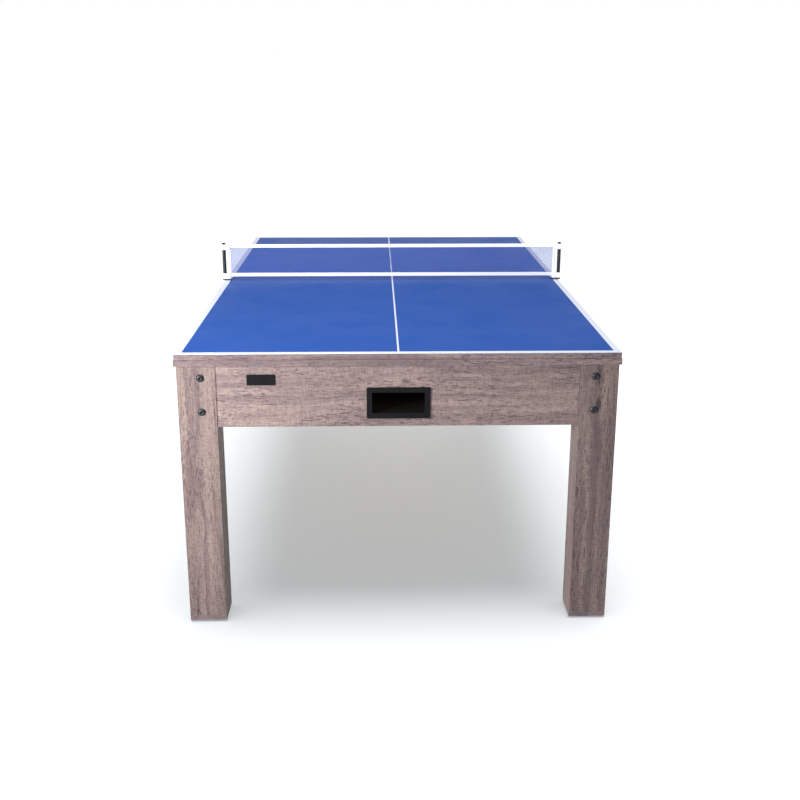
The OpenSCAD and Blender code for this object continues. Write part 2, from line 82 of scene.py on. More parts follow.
class Shader:
    """One procedural material: a Principled shader and the nodes that feed it."""

    def __init__(self, name):
        self.material = bpy.data.materials.new(name)
        self.material.use_nodes = True
        self.tree = self.material.node_tree
        self.tree.nodes.clear()
        self.surface = self.node("ShaderNodeBsdfPrincipled")
        output = self.node("ShaderNodeOutputMaterial")
        self.tree.links.new(self.surface.outputs["BSDF"], output.inputs["Surface"])
        self.place = self.node("ShaderNodeTexCoord").outputs["Object"]

    def node(self, kind, inputs=None, **settings):
        made = self.tree.nodes.new(kind)
        for key, value in settings.items():
            setattr(made, key, value)
        for key, value in (inputs or {}).items():
            self.put(made.inputs[key], value)
        return made

    def put(self, socket, value):
        if isinstance(value, bpy.types.NodeSocket):
            self.tree.links.new(value, socket)
        else:
            socket.default_value = value

    def set(self, **values):
        """Inputs of the Principled shader, by name with _ for a space."""
        for key, value in values.items():
            self.put(self.surface.inputs[key.replace("_", " ")], value)

    def stretch(self, vector, scale, offset=(0, 0, 0)):
        inputs = {"Vector": vector, "Scale": scale, "Location": offset}
        return self.node("ShaderNodeMapping", inputs).outputs["Vector"]

    def noise(self, vector, scale=1.0, detail=2.0, roughness=0.5):
        inputs = {"Vector": vector, "Scale": scale, "Detail": detail, "Roughness": roughness}
        return self.node("ShaderNodeTexNoise", inputs).outputs["Fac"]

    def cells(self, vector, scale):
        return self.node("ShaderNodeTexVoronoi", {"Vector": vector, "Scale": scale}).outputs["Distance"]

    def slanting_bands(self, vector, scale, distortion):
        inputs = {"Vector": vector, "Scale": scale, "Distortion": distortion}
        return self.node("ShaderNodeTexWave", inputs, bands_direction="DIAGONAL").outputs["Fac"]

    def calc(self, operation, a, b=0.0):
        return self.node("ShaderNodeMath", {0: a, 1: b}, operation=operation).outputs[0]

    def vector_calc(self, operation, a, b):
        return self.node("ShaderNodeVectorMath", {0: a, 1: b}, operation=operation).outputs["Vector"]

    def length(self, vector):
        return self.node("ShaderNodeVectorMath", {0: vector}, operation="LENGTH").outputs["Value"]

    def parts(self, vector):
        """The X, Y and Z of a vector, by letter."""
        return self.node("ShaderNodeSeparateXYZ", {"Vector": vector}).outputs

    def join(self, x, y, z):
        return self.node("ShaderNodeCombineXYZ", {"X": x, "Y": y, "Z": z}).outputs["Vector"]

    def fade(self, value, low, high, to_low=0.0, to_high=1.0):
        """value from low to high becomes to_low to to_high, smoothly, and stays at the ends outside."""
        inputs = {"Value": value, "From Min": low, "From Max": high, "To Min": to_low, "To Max": to_high}
        return self.node("ShaderNodeMapRange", inputs, interpolation_type="SMOOTHSTEP").outputs["Result"]

    def mix(self, share, a, b):
        """Mix of two colours; the node's sockets for colours are 6 and 7, and its result is 2."""
        return self.node("ShaderNodeMix", {0: share, 6: a, 7: b}, data_type="RGBA").outputs[2]

    def mix_vectors(self, share, a, b):
        """Mix of two vectors; the node's sockets for vectors are 4 and 5, and its result is 1."""
        return self.node("ShaderNodeMix", {0: share, 4: a, 5: b}, data_type="VECTOR").outputs[1]

    def bump(self, height, strength, distance):
        inputs = {"Height": height, "Strength": strength, "Distance": distance}
        return self.node("ShaderNodeBump", inputs).outputs["Normal"]

    def facing(self, axis):
        """1 where the surface faces along the axis, 0 elsewhere."""
        normal = self.node("ShaderNodeNewGeometry").outputs["True Normal"]
        nearly_along = 0.72
        return self.calc("GREATER_THAN", self.calc("ABSOLUTE", self.parts(normal)[axis]), nearly_along)


def rgb(red, green, blue):
    return (red, green, blue, 1.0)


def grey(tone, blue=1.0):
    """A grey, with its blue that many times the tone."""
    return rgb(tone, tone, tone * blue)


# ---------------------------------------------------------------- wood

GRAIN_ORDER = {"X": "XYZ", "Y": "YXZ", "Z": "ZXY"}
LIGHT_OAK = rgb(0.235, 0.174, 0.153)
DARK_OAK = rgb(0.135, 0.095, 0.090)
# Near black: the knot's own dark colour, and painted shade inside cracks.
KNOT_DARK_AND_CRACK_SHADE = rgb(0.012, 0.008, 0.010)


def grain_place(shader, along):
    """Coordinates whose first axis runs along the grain."""
    parts = shader.parts(shader.place)
    return shader.join(*(parts[axis] for axis in GRAIN_ORDER[along]))


def grain_noise(shader, place, along, across, detail, roughness=0.5, offset=(0, 0, 0)):
    """Noise with that many features to the metre, along and across the grain."""
    drawn = shader.stretch(place, (along, across, across), offset)
    return shader.noise(drawn, detail=detail, roughness=roughness)


def oak_knot(shader, along, point, radius):
    """How far a knot pushes the grain aside, and the dark spot of the knot itself."""
    drawn_out = tuple(0.45 if axis == along else 1.0 for axis in "XYZ")
    away = shader.vector_calc("MULTIPLY", shader.vector_calc("SUBTRACT", shader.place, point), drawn_out)
    reach = shader.length(away)
    push = shader.calc("MULTIPLY", shader.fade(reach, 0.0, radius * 3.4, 1.0, 0.0), radius * 1.3)
    return push, shader.fade(reach, radius * 0.25, radius, 1.0, 0.0)


def oak_split(shader, shift, x, low, high):
    """An upright split at x, from low z to high z, and the dark band of heartwood that it lies in."""
    parts = shader.parts(shader.place)
    bent = shader.calc("ADD", parts["X"], shader.calc("MULTIPLY", shift, 0.12))
    gap = shader.calc("ABSOLUTE", shader.calc("SUBTRACT", bent, x))
    length = shader.calc("MULTIPLY", shader.fade(parts["Z"], low, low + 0.012),
                         shader.fade(parts["Z"], high - 0.008, high, 1.0, 0.0))
    split = shader.calc("MULTIPLY", shader.fade(gap, 0.0006, 0.0022, 1.0, 0.0), length)
    return split, shader.fade(gap, 0.002, 0.017, 0.5, 0.0)


def oak(name, along, seed, light=LIGHT_OAK, dark=DARK_OAK, ends=None, knot=None, split=None):
    """Weathered oak laminate. ends is the grain axis on faces that look along the main grain. knot is a point
    on the surface and a radius. split is the x, low z and high z of an upright split."""
    shader = Shader(name)
    place = grain_place(shader, along)
    if ends:
        place = shader.mix_vectors(shader.facing(along), place, grain_place(shader, ends))
    place = shader.vector_calc("ADD", place, (seed * 3.71, seed * 1.93, seed * 2.57))

    # slow sideways drift of the grain, and its way round the knot
    drift = grain_noise(shader, place, 2.2, 7.0, 2.0)
    shift = shader.calc("MULTIPLY", shader.calc("SUBTRACT", drift, 0.5), 0.075)
    if knot:
        push, knot_spot = oak_knot(shader, along, *knot)
        shift = shader.calc("ADD", shift, push)
    warped = shader.vector_calc("ADD", place, shader.join(0.0, shift, shift))

    bands = grain_noise(shader, warped, 1.3, 40.0, 5.0, 0.62)
    patches = grain_noise(shader, place, 4.0, 16.0, 3.0, 0.55)
    streaks = grain_noise(shader, warped, 42.0, 300.0, 3.5, 0.66)
    pores = grain_noise(shader, warped, 90.0, 1100.0, 2.0, 0.6)
    hatch = grain_noise(shader, place, 430.0, 60.0, 2.0, 0.7)
    lines = grain_noise(shader, warped, 5.0, 210.0, 3.0, 0.6, (5.0, 1.0, 2.0))
    sparse = grain_noise(shader, place, 6.0, 14.0, 2.0, 0.5, (1.0, 7.0, 3.0))

    crack = shader.calc("MULTIPLY", shader.fade(lines, 0.60, 0.70), shader.fade(sparse, 0.42, 0.58))
    if split:
        opening, heart = oak_split(shader, shift, *split)
        crack = shader.calc("MAXIMUM", crack, opening)
    dense = shader.fade(patches, 0.36, 0.62, 0.45, 1.0)
    streak = shader.calc("MULTIPLY", shader.fade(streaks, 0.49, 0.62), dense)
    pore = shader.fade(pores, 0.50, 0.70)

    color = shader.mix(shader.fade(bands, 0.32, 0.66), light, dark)
    color = shader.mix(shader.fade(hatch, 0.42, 0.62, 0.0, 0.34), color, rgb(0.060, 0.040, 0.045))
    color = shader.mix(shader.calc("MULTIPLY", streak, 0.72), color, rgb(0.036, 0.026, 0.040))
    color = shader.mix(shader.calc("MULTIPLY", pore, 0.30), color, rgb(0.032, 0.021, 0.023))
    # Cracks and the split are painted near black: painted shade inside them.
    color = shader.mix(shader.calc("MULTIPLY", crack, 0.75), color, KNOT_DARK_AND_CRACK_SHADE)
    if split:
        heart = shader.calc("MULTIPLY", heart, shader.fade(bands, 0.25, 0.6, 1.0, 0.6))
        color = shader.mix(heart, color, rgb(0.045, 0.031, 0.036))
    if knot:
        color = shader.mix(shader.calc("MULTIPLY", knot_spot, 0.75), color, KNOT_DARK_AND_CRACK_SHADE)

    height = shader.calc("ADD", shader.calc("MULTIPLY", streak, 0.35), shader.calc("MULTIPLY", pore, 0.25))
    height = shader.calc("ADD", height, crack)
    height = shader.calc("SUBTRACT", 1.0, height)
    shader.set(
        Base_Color=color,
        Roughness=shader.fade(streaks, 0.3, 0.75, 0.46, 0.62),
        Specular_IOR_Level=0.22,
        Normal=shader.bump(height, 0.30, 0.0005),
    )
    return shader.material


def fibreboard(name):
    """Raw fibreboard: even tan fibres with fine dark specks."""
    shader = Shader(name)
    cloud = shader.noise(shader.place, 14.0, 4.0, 0.6)
    fleck = shader.noise(shader.place, 900.0, 3.0, 0.7)
    color = shader.mix(cloud, rgb(0.40, 0.29, 0.18), rgb(0.50, 0.37, 0.24))
    color = shader.mix(shader.fade(fleck, 0.55, 0.75, 0.0, 0.5), color, rgb(0.22, 0.15, 0.09))
    shader.set(Base_Color=color, Roughness=0.82, Specular_IOR_Level=0.2,
               Normal=shader.bump(fleck, 0.3, 0.0004))
    return shader.material


# ---------------------------------------------------------------- other materials

def blue_top(name):
    """Matt blue playing coat: rolled paint with a fine even grain and a few faint rubs."""
    shader = Shader(name)
    grain = shader.noise(shader.place, 1500.0, 2.0, 0.6)
    roll = shader.noise(shader.place, 260.0, 2.0, 0.5)
    cloud = shader.noise(shader.place, 2.6, 3.0, 0.5)
    rubs = shader.noise(shader.place, 7.0, 5.0, 0.6)
    color = shader.mix(cloud, rgb(0.006, 0.052, 0.262), rgb(0.008, 0.057, 0.277))
    color = shader.mix(shader.fade(grain, 0.35, 0.7, 0.0, 0.10), color, rgb(0.033, 0.10, 0.35))
    height = shader.calc("ADD", shader.calc("MULTIPLY", grain, 0.4), roll)
    shader.set(
        Base_Color=color,
        Roughness=shader.fade(rubs, 0.35, 0.75, 0.40, 0.47),
        Specular_IOR_Level=0.06,
        Normal=shader.bump(height, 0.10, 0.0003),
    )
    return shader.material


def white_paint(name):
    """Painted lines: matt white with a few greyer patches."""
    shader = Shader(name)
    grain = shader.noise(shader.place, 1100.0, 2.0, 0.6)
    dirt = shader.noise(shader.place, 25.0, 5.0, 0.65)
    clean = rgb(0.54, 0.57, 0.66)
    color = shader.mix(shader.fade(dirt, 0.45, 0.8, 0.0, 0.35), clean, rgb(0.44, 0.47, 0.55))
    shader.set(Base_Color=color, Roughness=0.42, Specular_IOR_Level=0.35,
               Normal=shader.bump(grain, 0.12, 0.0003))
    return shader.material


def white_plastic(name):
    """White nylon that lets a little light in."""
    shader = Shader(name)
    grain = shader.noise(shader.place, 700.0, 2.0, 0.6)
    tint = shader.noise(shader.place, 60.0, 3.0, 0.5)
    color = shader.mix(tint, rgb(0.80, 0.80, 0.83), rgb(0.86, 0.86, 0.88))
    shader.set(
        Base_Color=color,
        Roughness=shader.fade(grain, 0.3, 0.7, 0.34, 0.46),
        Subsurface_Weight=0.06,
        Subsurface_Radius=(0.003, 0.003, 0.003),
        Normal=shader.bump(grain, 0.10, 0.0003),
    )
    return shader.material


def black_plastic(name):
    """Moulded black plastic with a fine spark-eroded texture."""
    shader = Shader(name)
    tone = 0.005
    grain = shader.cells(shader.place, 1400.0)
    cloud = shader.noise(shader.place, 30.0, 3.0, 0.5)
    color = shader.mix(cloud, grey(tone, 1.25), rgb(tone * 1.7, tone * 1.65, tone * 2.0))
    shader.set(
        Base_Color=color,
        Roughness=shader.fade(cloud, 0.3, 0.7, 0.42, 0.55),
        Specular_IOR_Level=0.06,
        Normal=shader.bump(grain, 0.30, 0.0004),
    )
    return shader.material


def powder_coat(name):
    """Black powder coat on steel, with bare metal showing through in small worn specks."""
    shader = Shader(name)
    peel = shader.noise(shader.place, 520.0, 3.0, 0.55)
    chips = shader.noise(shader.place, 240.0, 6.0, 0.75)
    worn = shader.fade(chips, 0.70, 0.76)
    color = shader.mix(worn, rgb(0.012, 0.013, 0.018), rgb(0.18, 0.18, 0.18))
    shader.set(
        Base_Color=color,
        Metallic=shader.calc("MULTIPLY", worn, 0.8),
        Roughness=shader.fade(peel, 0.3, 0.7, 0.30, 0.42),
        Specular_IOR_Level=0.35,
        Normal=shader.bump(peel, 0.22, 0.0004),
    )
    return shader.material


def zinc(name, tone=1.0):
    """Zinc-plated pressed steel: soft spangle, fine drawing marks, a little dulling. A low tone darkens it."""
    shader = Shader(name)
    spangle = shader.cells(shader.place, 160.0)
    drawn = shader.noise(shader.stretch(shader.place, (30.0, 30.0, 1400.0)), 1.0, 2.0, 0.6)
    dull = shader.noise(shader.place, 45.0, 4.0, 0.65)
    valley = rgb(0.56 * tone, 0.57 * tone, 0.59 * tone)
    crystal = rgb(0.70 * tone, 0.71 * tone, 0.74 * tone)
    oxide = rgb(0.30 * tone, 0.30 * tone, 0.31 * tone)
    color = shader.mix(shader.fade(dull, 0.5, 0.75, 0.0, 0.5), shader.mix(spangle, valley, crystal), oxide)
    shader.set(
        Base_Color=color,
        Metallic=1.0,
        Roughness=shader.fade(dull, 0.3, 0.75, 0.28, 0.55),
        Normal=shader.bump(drawn, 0.12, 0.0002),
    )
    return shader.material


def woven(name, light, dark, threads, sheen, nap):
    """Plain weave of that many threads to the metre, along X and along Y or Z; nap is how fuzzy it is."""
    shader = Shader(name)
    turns = shader.parts(shader.vector_calc("MULTIPLY", shader.place, (threads * math.pi,) * 3))
    waves = [shader.calc("ABSOLUTE", shader.calc("SINE", turns[axis])) for axis in "XYZ"]
    cross = shader.calc("MULTIPLY", waves[0], shader.calc("MAXIMUM", waves[1], waves[2]))
    fuzz = shader.noise(shader.place, threads * 1.7, 3.0, 0.7)
    cloud = shader.noise(shader.place, 9.0, 4.0, 0.6)
    color = shader.mix(cross, dark, light)
    color = shader.mix(shader.fade(cloud, 0.35, 0.75, 0.0, 0.25), color, dark)
    weave = shader.calc("MULTIPLY", cross, 1.0 - nap)
    height = shader.calc("ADD", weave, shader.calc("MULTIPLY", fuzz, nap + 0.3))
    shader.set(
        Base_Color=color,
        Roughness=0.88,
        Specular_IOR_Level=0.15,
        Sheen_Weight=sheen,
        Sheen_Roughness=0.5,
        Normal=shader.bump(height, 0.5, 0.0004),
    )
    return shader.material


def billiard_cloth(name):
    """Dark blue-grey worsted with a short nap."""
    return woven(name, rgb(0.075, 0.105, 0.135), rgb(0.040, 0.058, 0.078), 1100.0, 0.35, 0.6)


def felt(name):
    """Black pressed felt."""
    shader = Shader(name)
    tone = 0.016
    fuzz = shader.noise(shader.place, 1600.0, 4.0, 0.75)
    color = shader.mix(fuzz, grey(tone), grey(tone * 2.4))
    shader.set(Base_Color=color, Roughness=0.95, Specular_IOR_Level=0.1, Sheen_Weight=0.4,
               Normal=shader.bump(fuzz, 0.8, 0.0008))
    return shader.material


def rubber(name):
    """Black rubber with a little dust on it."""
    shader = Shader(name)
    grain = shader.noise(shader.place, 800.0, 3.0, 0.6)
    dust = shader.noise(shader.place, 50.0, 4.0, 0.6)
    color = shader.mix(shader.fade(dust, 0.45, 0.75, 0.0, 0.5), rgb(0.012, 0.012, 0.013), grey(0.05))
    shader.set(Base_Color=color, Roughness=0.7, Specular_IOR_Level=0.35,
               Normal=shader.bump(grain, 0.3, 0.0004))
    return shader.material


def net_cord(name):
    """Blue nylon cord: twisted filaments with a soft shine."""
    shader = Shader(name)
    twist = shader.slanting_bands(shader.place, 900.0, 2.0)
    color = shader.mix(twist, rgb(0.028, 0.075, 0.34), rgb(0.048, 0.108, 0.43))
    shader.set(Base_Color=color, Roughness=0.55, Specular_IOR_Level=0.3, Sheen_Weight=0.3,
               Normal=shader.bump(twist, 0.4, 0.0003))
    return shader.material


# ---------------------------------------------------------------- mesh helpers

def as_mesh(name, work, sharp=40.0):
    """The mesh of a bmesh, smooth but for edges over that many degrees."""
    bmesh.ops.recalc_face_normals(work, faces=work.faces)
    mesh = bpy.data.meshes.new(name)
    work.to_mesh(mesh)
    work.free()
    mesh.polygons.foreach_set("use_smooth", [True] * len(mesh.polygons))
    mesh.set_sharp_from_angle(angle=math.radians(sharp))
    return mesh


def add_piece(name, mesh, body, slot, material, *nodes):
    """A piece that rides on a body, takes the material given and stands for CAD nodes, which it hides; slot is
    not used.
    """
    piece = bpy.data.objects.new(name, mesh)
    bpy.context.scene.collection.objects.link(piece)
    mesh.materials.append(material)
    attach(piece, body)
    if nodes:
        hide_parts(*nodes)
    return piece


def loft(work, rings, capped=True):
    """Faces between rings that have as many points each, and over the first and last ring."""
    made = [[work.verts.new(point) for point in ring] for ring in rings]
    count = len(made[0])
    for before, after in zip(made, made[1:]):
        for index in range(count):
            following = (index + 1) % count
            work.faces.new((before[index], before[following], after[following], after[index]))
    if capped:
        work.faces.new(reversed(made[0]))
        work.faces.new(made[-1])


def round_ring(radius, height, steps, turn, place):
    """A ring of points about an axis; radius is a number, or a function of the angle."""
    points = []
    for step in range(steps):
        angle = 2 * math.pi * step / steps
        reach = radius(angle) if callable(radius) else radius
        points.append(place + turn @ Vector((reach * math.cos(angle), reach * math.sin(angle), height)))
    return points


def lathe(work, place, axis, profile, steps=48):
    """A turned shape from (radius, height) pairs along the axis."""
    turn = Vector((0, 0, 1)).rotation_difference(Vector(axis)).to_matrix()
    loft(work, [round_ring(radius, height, steps, turn, place) for radius, height in profile])


def hexagon(flats):
    """Radius of a hexagon that measures flats across, by angle."""
    step = math.pi / 3
    return lambda angle: flats / 2 / math.cos((angle % step) - step / 2)


def soften(node, width, segments=2, rim=None):
    """Breaks the sharp edges of a CAD node with modifiers; rim is a material for the broken edges."""
    weld = node.modifiers.new("weld", "WELD")
    weld.merge_threshold = 0.00001
    flat = node.modifiers.new("flat", "DECIMATE")
    flat.decimate_type = "DISSOLVE"
    flat.angle_limit = math.radians(0.5)
    bevel = node.modifiers.new("edges", "BEVEL")
    bevel.width = width
    bevel.segments = segments
    bevel.limit_method = "ANGLE"
    bevel.angle_limit = math.radians(40)
    bevel.harden_normals = True
    if rim is not None:
        node.data.materials.append(rim)
        bevel.material = len(node.data.materials) - 1


def paint(material, *names):
    for name in names:
        for slot in NODES[name].material_slots:
            slot.material = material


# ---------------------------------------------------------------- net

def cord_through(work, points, radii, side):
    """A thin four-sided tube through points in a plane; side is the plane's normal."""
    sides = 4
    rings = []
    for index, point in enumerate(points):
        before = points[max(index - 1, 0)]
        after = points[min(index + 1, len(points) - 1)]
        across = (after - before).cross(side).normalized()
        ring = []
        for step in range(sides):
            angle = 2 * math.pi * step / sides
            ring.append(point + (across * math.cos(angle) + side * math.sin(angle)) * radii[index])
        rings.append(ring)
    loft(work, rings)


def net_cords(material):
    """Square knotted mesh: upright and level cords that thicken at their knots."""
    low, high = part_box("net_mesh")
    middle = (low.y + high.y) / 2
    cell = 0.0036
    knot = 0.00064
    thin = 0.00047
    slack = 0.00014
    columns = round((high.x - low.x) / cell)
    rows = round((high.z - low.z) / cell)
    edge = knot * 1.05
    draw = random.Random(11)
    knots = []
    for column in range(columns + 1):
        x = low.x + edge + (high.x - low.x - 2 * edge) * column / columns
        line = []
        for row in range(rows + 1):
            z = low.z + edge + (high.z - low.z - 2 * edge) * row / rows
            loose = 0.0 if column in (0, columns) or row in (0, rows) else slack
            shift = Vector((draw.uniform(-1, 1), draw.uniform(-0.6, 0.6), draw.uniform(-1, 1))) * loose
            line.append(Vector((x, middle, z)) + shift)
        knots.append(line)
    work = bmesh.new()
    lines = knots + [list(line) for line in zip(*knots)]
    for line in lines:
        points = [line[0]]
        radii = [knot]
        for before, after in zip(line, line[1:]):
            points += [(before + after) / 2, after]
            radii += [thin, knot]
        cord_through(work, points, radii, Vector((0, 1, 0)))
    mesh = as_mesh("net_cords", work, 80.0)
    piece = add_piece("net_cords", mesh, "net", "net_cord", material, "net_mesh")


SEAM = 0.0026  # from a tape's free edge to its line of stitches


def tape_section(fold, free, middle):
    """(y, z) points of a strip folded over the net: outside from free edge over the fold, and back inside."""
    way = 1 if fold > free else -1
    half = 0.0015
    cloth = 0.00055
    height = abs(fold - free)
    shape = [(0.0, 0.00125), (SEAM, 0.00098), (0.006, 0.0014), (height - half, half)]
    side = [(width, free + way * up) for up, width in shape]
    over = []
    for step in range(1, 8):
        angle = math.pi * step / 8
        over.append((half * math.cos(angle), fold - way * half + way * half * math.sin(angle)))
    outside = side + over + [(-width, z) for width, z in reversed(side)]
    inside = [(max(width - cloth, 0.0), z) for width, z in side]
    inside += [(0.0, fold - way * cloth)] + [(-width, z) for width, z in reversed(inside)]
    return [(middle + y, z) for y, z in outside + list(reversed(inside))]


def net_tapes(material, thread):
    """Folded tapes along the top and bottom of the net, each sewn down beside its free edge."""
    low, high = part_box("net_tapes")
    middle = (low.y + high.y) / 2
    top_width = 0.012
    bottom_width = 0.013
    stitch = 0.0045
    stitch_shape = [(0.00008, -0.0016), (0.00028, -0.0013), (0.00034, 0.0)]
    stitch_shape += [(0.00028, 0.0013), (0.00008, 0.0016)]
    work = bmesh.new()
    sewing = bmesh.new()
    count = round((high.x - low.x) / (stitch / 2))
    for fold, free in ((high.z, high.z - top_width), (low.z, low.z + bottom_width)):
        section = tape_section(fold, free, middle)
        way = 1 if fold > free else -1
        rings = []
        for step in range(count + 1):
            x = low.x + (high.x - low.x) * step / count
            ring = []
            for y, z in section:
                depth = abs(z - free)
                pucker = 0.00010 * math.cos(math.pi * step) * math.exp(-((depth - SEAM) / 0.0018) ** 2)
                wave = 0.00012 * math.sin(x * 61.0 + 1.3) * math.exp(-depth / 0.004)
                ring.append(Vector((x, y + math.copysign(pucker, y - middle), z - way * wave)))
            rings.append(ring)
        loft(work, rings)
        for side in (-1, 1):
            x = low.x + stitch
            while x < high.x - stitch:
                place = Vector((x, middle + side * 0.00102, free + way * SEAM))
                lathe(sewing, place, (1, 0, 0), stitch_shape, 6)
                x += stitch
    tapes = as_mesh("net_tapes_sewn", work, 50.0)
    stitches = as_mesh("net_tape_stitches", sewing, 60.0)
    add_piece("net_tapes_sewn", tapes, "net", "white_tape", material, "net_tapes")
    add_piece("net_tape_stitches", stitches, "net", "white_tape", thread)


def net_sleeves(material):
    """Sewn sleeves at the two ends of the net, each drawn in at its top and bottom."""
    low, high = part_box("net_end_bands")
    middle = (low.y + high.y) / 2
    half_depth = (high.y - low.y) / 2
    half_width = 0.005
    height = high.z - low.z
    drawn_in = 0.26
    hem = 0.0035
    around = 24
    rows = 34
    work = bmesh.new()
    for side in (-1, 1):
        x = side * (high.x - half_width)
        rings = []
        for row in range(rows + 1):
            share = row / rows
            close = min(share, 1 - share) * height
            drawn = 1 - drawn_in * math.exp(-close / hem)
            ripple = 1 + 0.02 * math.sin(share * 95.0)
            ring = []
            for step in range(around):
                angle = 2 * math.pi * step / around
                across = math.copysign(abs(math.cos(angle)) ** 0.62, math.cos(angle))
                deep = math.copysign(abs(math.sin(angle)) ** 0.75, math.sin(angle))
                ring.append(Vector((
                    x + across * half_width * drawn * 0.995,
                    middle + deep * half_depth * drawn * ripple * 0.97,
                    low.z + height * share,
                )))
            rings.append(ring)
        loft(work, rings)
    add_piece("net_sleeves", as_mesh("net_sleeves", work), "net", "white_tape", material, "net_end_bands")


# ---------------------------------------------------------------- pool bed

def arc(centre, radius, start, stop, steps):
    """Points on a circle, with angles in degrees."""
    points = []
    for step in range(steps + 1):
        angle = math.radians(start + (stop - start) * step / steps)
        points.append((centre[0] + radius * math.cos(angle), centre[1] + radius * math.sin(angle)))
    return points


def bed_outline():
    """Plan of the bed cloth: its edge, the notches at the corners and the round pockets."""
    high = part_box("bed_cloth")[1]
    radius = 0.060
    corner = Vector(CORNER_POCKET)
    side = Vector(SIDE_POCKET)
    notch = 0.004
    slip = math.degrees(math.asin(notch / radius))
    leaves = math.degrees(math.acos((high.x - side.x) / radius))
    quarter = arc(side, radius, 180.0, leaves, 20)
    quarter += [(high.x, corner.y - notch)]
    quarter += arc(corner, radius, -slip, -270.0 + slip, 36)
    quarter += [(corner.x - notch, high.y)]
    upper = quarter + [(-x, y) for x, y in reversed(quarter)]
    return upper + [(x, -y) for x, y in reversed(upper)]


def bed_cloth(material):
    """Cloth stretched over the bed and cut round each pocket, with its edges rounded off."""
    low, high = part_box("bed_cloth")
    same = 1e-5
    outline = []
    for point in bed_outline():
        if not outline or (Vector(point) - Vector(outline[-1])).length > same:
            outline.append(point)
    if (Vector(outline[0]) - Vector(outline[-1])).length < same:
        outline.pop()
    work = bmesh.new()
    face = work.faces.new([work.verts.new((x, y, low.z)) for x, y in outline])
    grown = bmesh.ops.extrude_face_region(work, geom=[face])
    raised = [part for part in grown["geom"] if isinstance(part, bmesh.types.BMVert)]
    bmesh.ops.translate(work, verts=raised, vec=(0, 0, high.z - low.z))
    bmesh.ops.triangulate(work, faces=[part for part in work.faces if len(part.verts) > 4])
    mesh = as_mesh("playing_cloth", work)
    piece = add_piece("playing_cloth", mesh, "cabinet", "bed_cloth", material, "bed_cloth")
    edge = piece.modifiers.new("turned edge", "BEVEL")
    edge.width = 0.0004
    edge.segments = 2
    edge.limit_method = "ANGLE"
    edge.angle_limit = math.radians(60)


def cushion_profile(depth, height):
    """(distance behind the nose, height above the cloth) round a cloth-covered cushion."""
    nose = 0.0030
    points = [(depth, 0.008), (depth - 0.010, 0.0080), (depth - 0.014, 0.0095)]
    points += [(depth - 0.0235, 0.0185), (0.0075, 0.0278), (0.0022, 0.0322)]
    for step in range(9):
        angle = math.radians(215 - 125 * step / 8)
        points.append((nose + nose * math.cos(angle), 0.0355 - nose + nose * math.sin(angle)))
    points += [(0.010, 0.0362), (0.024, 0.0372), (depth - 0.006, height - 0.0004), (depth - 0.002, height)]
    points += [(depth, height - 0.001)]
    return points


def cushion(work, start, along, behind, length, slants):
    """A cushion from start, with its nose that long; slants are its end angles, in degrees."""
    depth = 0.045
    profile = cushion_profile(depth, 0.038)
    count = max(4, round(length / 0.05))
    shares = [0.0, 0.004, 0.012] + [step / count for step in range(1, count)] + [0.988, 0.996, 1.0]
    rings = []
    for share in shares:
        end = min(share, 1 - share)
        pull = 0.0012 * math.exp(-end * length / 0.003)
        ring = []
        for back, height in profile:
            first = -back * math.tan(math.radians(slants[0]))
            last = length + back * math.tan(math.radians(slants[1]))
            place = first + (last - first) * share
            sink = pull if height > 0.02 else 0.0
            ring.append(start + along * place + behind * (back + (pull if back < 0.03 else 0.0))
                        + Vector((0, 0, height - sink)))
        rings.append(ring)
    loft(work, rings)


def cushions(material):
    """Six rubber cushions covered in cloth, with their ends slanted at the pockets."""
    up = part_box("bed_cloth")[1].z
    nose_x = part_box("right_cushions")[0].x
    nose_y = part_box("rear_cushion")[0].y
    corner_jaw = 0.080
    side_jaw = 0.062
    at_corner = 48.0
    at_side = 14.0
    for name, side in (("left_cushions", -1), ("right_cushions", 1)):
        work = bmesh.new()
        for end in (-1, 1):
            start = Vector((side * nose_x, end * side_jaw, up))
            length = nose_y - side_jaw - corner_jaw
            cushion(work, start, Vector((0, end, 0)), Vector((side, 0, 0)), length, (at_side, at_corner))
        piece = add_piece(name + "_covered", as_mesh(name, work), "cabinet", "cushion_cloth", material, name)
    for name, end in (("front_cushion", -1), ("rear_cushion", 1)):
        work = bmesh.new()
        start = Vector((corner_jaw - nose_x, end * nose_y, up))
        length = 2 * (nose_x - corner_jaw)
        cushion(work, start, Vector((1, 0, 0)), Vector((0, end, 0)), length, (at_corner, at_corner))
        piece = add_piece(name + "_covered", as_mesh(name, work), "cabinet", "cushion_cloth", material, name)


def disc(work, x, y, z, radius, height):
    """A round spot that stands on z, with its upper edge broken."""
    hub = radius * 0.3
    shape = [(hub, 0.0), (radius, 0.0), (radius, height * 0.6), (radius - height * 0.5, height)]
    lathe(work, Vector((x, y, z)), (0, 0, 1), shape + [(hub, height)], 32)


